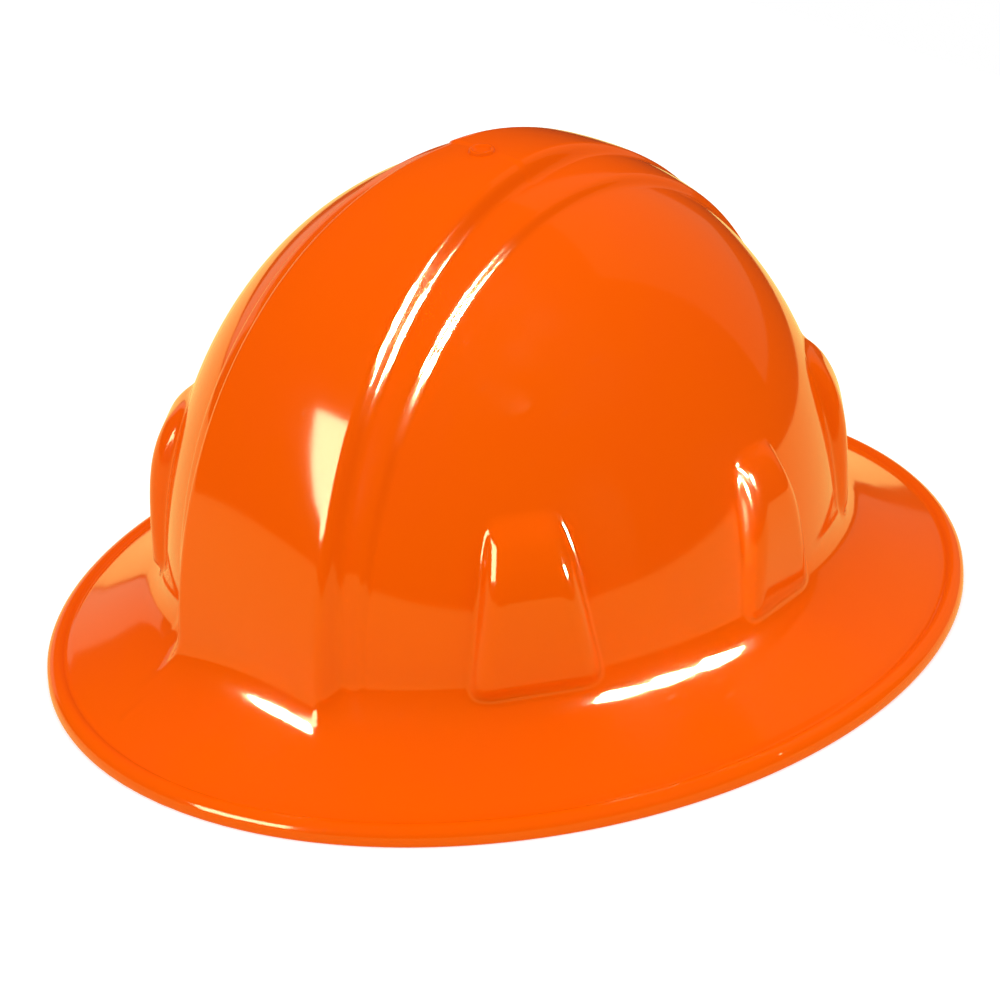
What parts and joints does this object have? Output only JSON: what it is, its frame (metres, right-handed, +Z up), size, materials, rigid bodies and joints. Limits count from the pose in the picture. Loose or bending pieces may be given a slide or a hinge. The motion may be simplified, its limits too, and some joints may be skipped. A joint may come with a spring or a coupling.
{
  "type": "full brim hard hat",
  "caption": "Moulded safety hat with a full sloping brim, a raised centre band, strap suspension, slotted headband and a ratchet at the nape.",
  "frame": {"origin": "centre of the brim outline on the plane that the brim's rim rests on", "axes": "+X towards the front panel, +Y towards the wearer's left, +Z up through the crown"},
  "size_m": [0.3252, 0.282, 0.1673],
  "materials": {
    "shell": "glossy moulded orange",
    "clip_plastic": "black moulded nylon",
    "webbing": "woven black webbing",
    "patch": "stitched grey patch",
    "hoop_plastic": "black moulded polyethylene",
    "brow_foam": "grey brushed fabric over foam",
    "knob_plastic": "black moulded grip",
    "steel": "zinc plated",
    "acetal": "natural acetal"
  },
  "bodies": {
    "hat": {"shell": "shell", "key_front_left": "clip_plastic", "key_front_right": "clip_plastic", "key_middle_left": "clip_plastic", "key_middle_right": "clip_plastic", "key_rear_left": "clip_plastic", "key_rear_right": "clip_plastic", "strap_side": "webbing", "strap_diagonal_left": "webbing", "strap_diagonal_right": "webbing", "crown_pad": "patch"},
    "headband": {"headband": "hoop_plastic", "brow_pad": "brow_foam"},
    "tilt": {"temple_pin_left": "acetal", "temple_pin_right": "acetal"},
    "ratchet": {"ratchet_housing": "hoop_plastic", "ratchet_cover": "hoop_plastic", "pawl_ring": "steel", "nape_pad": "brow_foam"},
    "knob": {"ratchet_knob": "knob_plastic", "ratchet_pinion": "acetal", "knob_screw": "steel"},
    "strap_left": {"rack_strap_left": "hoop_plastic"},
    "strap_right": {"rack_strap_right": "hoop_plastic"}
  },
  "joints": [
    {"name": "headband_height", "type": "slide", "parent": "hat", "child": "headband", "axis": [0, 0, 1], "range_m": [0, 0.012]},
    {"name": "nape_tilt", "type": "hinge", "parent": "headband", "child": "tilt", "pos_m": [-0.021, 0, 0.038], "axis": [0, -1, 0], "range_deg": [0, 30]},
    {"name": "nape_tighten", "type": "slide", "parent": "tilt", "child": "ratchet", "axis": [1, 0, 0], "range_m": [0, 0.012]},
    {"name": "knob_turn", "type": "hinge", "parent": "ratchet", "child": "knob", "pos_m": [-0.0936, 0, 0.038], "axis": [1, 0, 0], "range_deg": [0, 156]},
    {"name": "strap_left_wrap", "type": "hinge", "parent": "ratchet", "child": "strap_left", "pos_m": [-0.021, 0, 0.038], "axis": [0, 0, 1], "range_deg": [0, 9.5]},
    {"name": "strap_right_wrap", "type": "hinge", "parent": "ratchet", "child": "strap_right", "pos_m": [-0.021, 0, 0.038], "axis": [0, 0, 1], "range_deg": [-9.5, 0]}
  ],
  "couplings": [
    {"joint": "knob_turn", "follows": "nape_tighten", "rad_per_m": 225.73},
    {"joint": "strap_left_wrap", "follows": "nape_tighten", "rad_per_m": 13.774},
    {"joint": "strap_right_wrap", "follows": "nape_tighten", "rad_per_m": -13.774}
  ]
}
